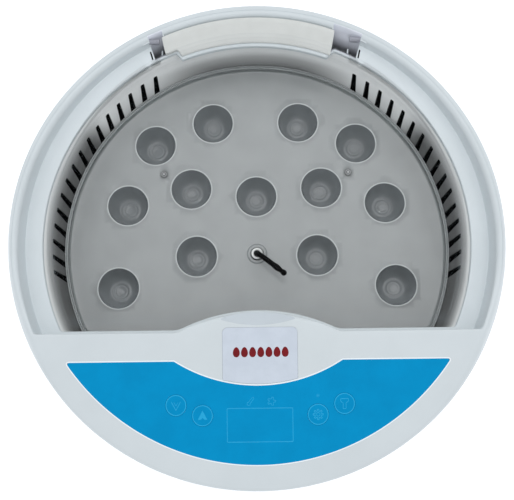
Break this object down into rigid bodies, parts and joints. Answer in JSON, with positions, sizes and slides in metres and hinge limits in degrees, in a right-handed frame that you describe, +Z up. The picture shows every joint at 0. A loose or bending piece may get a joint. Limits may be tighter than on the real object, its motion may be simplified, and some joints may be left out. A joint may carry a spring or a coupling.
{
  "type": "egg incubator",
  "caption": "Round tabletop egg incubator: white base, sloping blue key panel at the front, clear cup tray in a vented chamber, and a clear lid hinged at the back.",
  "frame": {"origin": "centre of the round footprint, on the plane the rubber feet stand on", "axes": "+Z up, the control deck faces -Y, the lid hinge is at +Y, +X is the user's right seen from the front"},
  "size_m": [0.27, 0.2699, 0.098],
  "materials": {
    "white_shell": "satin moulded ABS",
    "satin_white": "fine spark-eroded texture",
    "liner_white": "satin moulded ABS",
    "clear_tray": "clear vacuum formed PET",
    "clear_lid": "clear moulded polystyrene",
    "blue_panel": "satin printed film",
    "badge": "printed label",
    "steel": "bright",
    "black_plastic": "moulded",
    "circuit_board": "green solder mask",
    "led_lens": "frosted epoxy",
    "white_small": "moulded",
    "heater_metal": "oxidised",
    "lead_rubber": "matt",
    "ribbon_grey": "flexible",
    "foot_rubber": "matt"
  },
  "bodies": {
    "base": {"badge_plate": "badge", "base_shell": "white_shell", "buzzer": "black_plastic", "candler_board": "circuit_board", "candler_led_1": "led_lens", "candler_led_2": "led_lens", "candler_led_3": "led_lens", "candler_led_4": "led_lens", "candler_led_5": "led_lens", "candler_led_6": "led_lens", "candler_led_7": "led_lens", "candler_led_8": "led_lens", "candler_led_9": "led_lens", "case_screw_1": "steel", "case_screw_2": "steel", "case_screw_3": "steel", "case_screw_4": "steel", "chamber_liner": "liner_white", "control_board": "circuit_board", "control_overlay": "blue_panel", "display_module": "black_plastic", "egg_tray": "clear_tray", "fan_frame": "black_plastic", "filter_capacitor": "black_plastic", "foot_front_left": "foot_rubber", "foot_front_right": "foot_rubber", "foot_rear_left": "foot_rubber", "foot_rear_right": "foot_rubber", "heater_bracket": "steel", "heater_element": "heater_metal", "hinge_cover": "satin_white", "hinge_pin_left": "white_small", "hinge_pin_right": "white_small", "mains_lead": "lead_rubber", "power_board": "circuit_board", "power_inlet": "black_plastic", "probe_grommet": "white_small", "probe_sensor": "black_plastic", "ribbon_cable": "ribbon_grey", "status_led": "led_lens", "switch_candler": "black_plastic", "switch_down": "black_plastic", "switch_settings": "black_plastic", "switch_up": "black_plastic", "thermal_cutoff": "black_plastic", "top_cover": "white_shell", "transformer": "black_plastic", "tray_peg_left": "white_small", "tray_peg_right": "white_small"},
    "lid": {"lid_dome": "clear_lid"},
    "fan_rotor_body": {"fan_rotor": "black_plastic"},
    "key_down_body": {"key_down": "blue_panel"},
    "key_up_body": {"key_up": "blue_panel"},
    "key_candler_body": {"key_candler": "blue_panel"},
    "key_settings_body": {"key_settings": "blue_panel"}
  },
  "joints": [
    {"name": "lid_hinge", "type": "hinge", "parent": "base", "child": "lid", "pos_m": [0, 0.114, 0.065], "axis": [-1, 0, 0], "range_deg": [0, 80]},
    {"name": "fan_spin", "type": "hinge", "parent": "base", "child": "fan_rotor_body", "pos_m": [0, -0.058, 0.038], "axis": [0, 1, 0], "continuous": true},
    {"name": "key_down_press", "type": "slide", "parent": "base", "child": "key_down_body", "axis": [0, 0.1564, -0.9877], "range_m": [0, 0.00035]},
    {"name": "key_up_press", "type": "slide", "parent": "base", "child": "key_up_body", "axis": [0, 0.1564, -0.9877], "range_m": [0, 0.00035]},
    {"name": "key_candler_press", "type": "slide", "parent": "base", "child": "key_candler_body", "axis": [0, 0.1564, -0.9877], "range_m": [0, 0.00035]},
    {"name": "key_settings_press", "type": "slide", "parent": "base", "child": "key_settings_body", "axis": [0, 0.1564, -0.9877], "range_m": [0, 0.00035]}
  ]
}
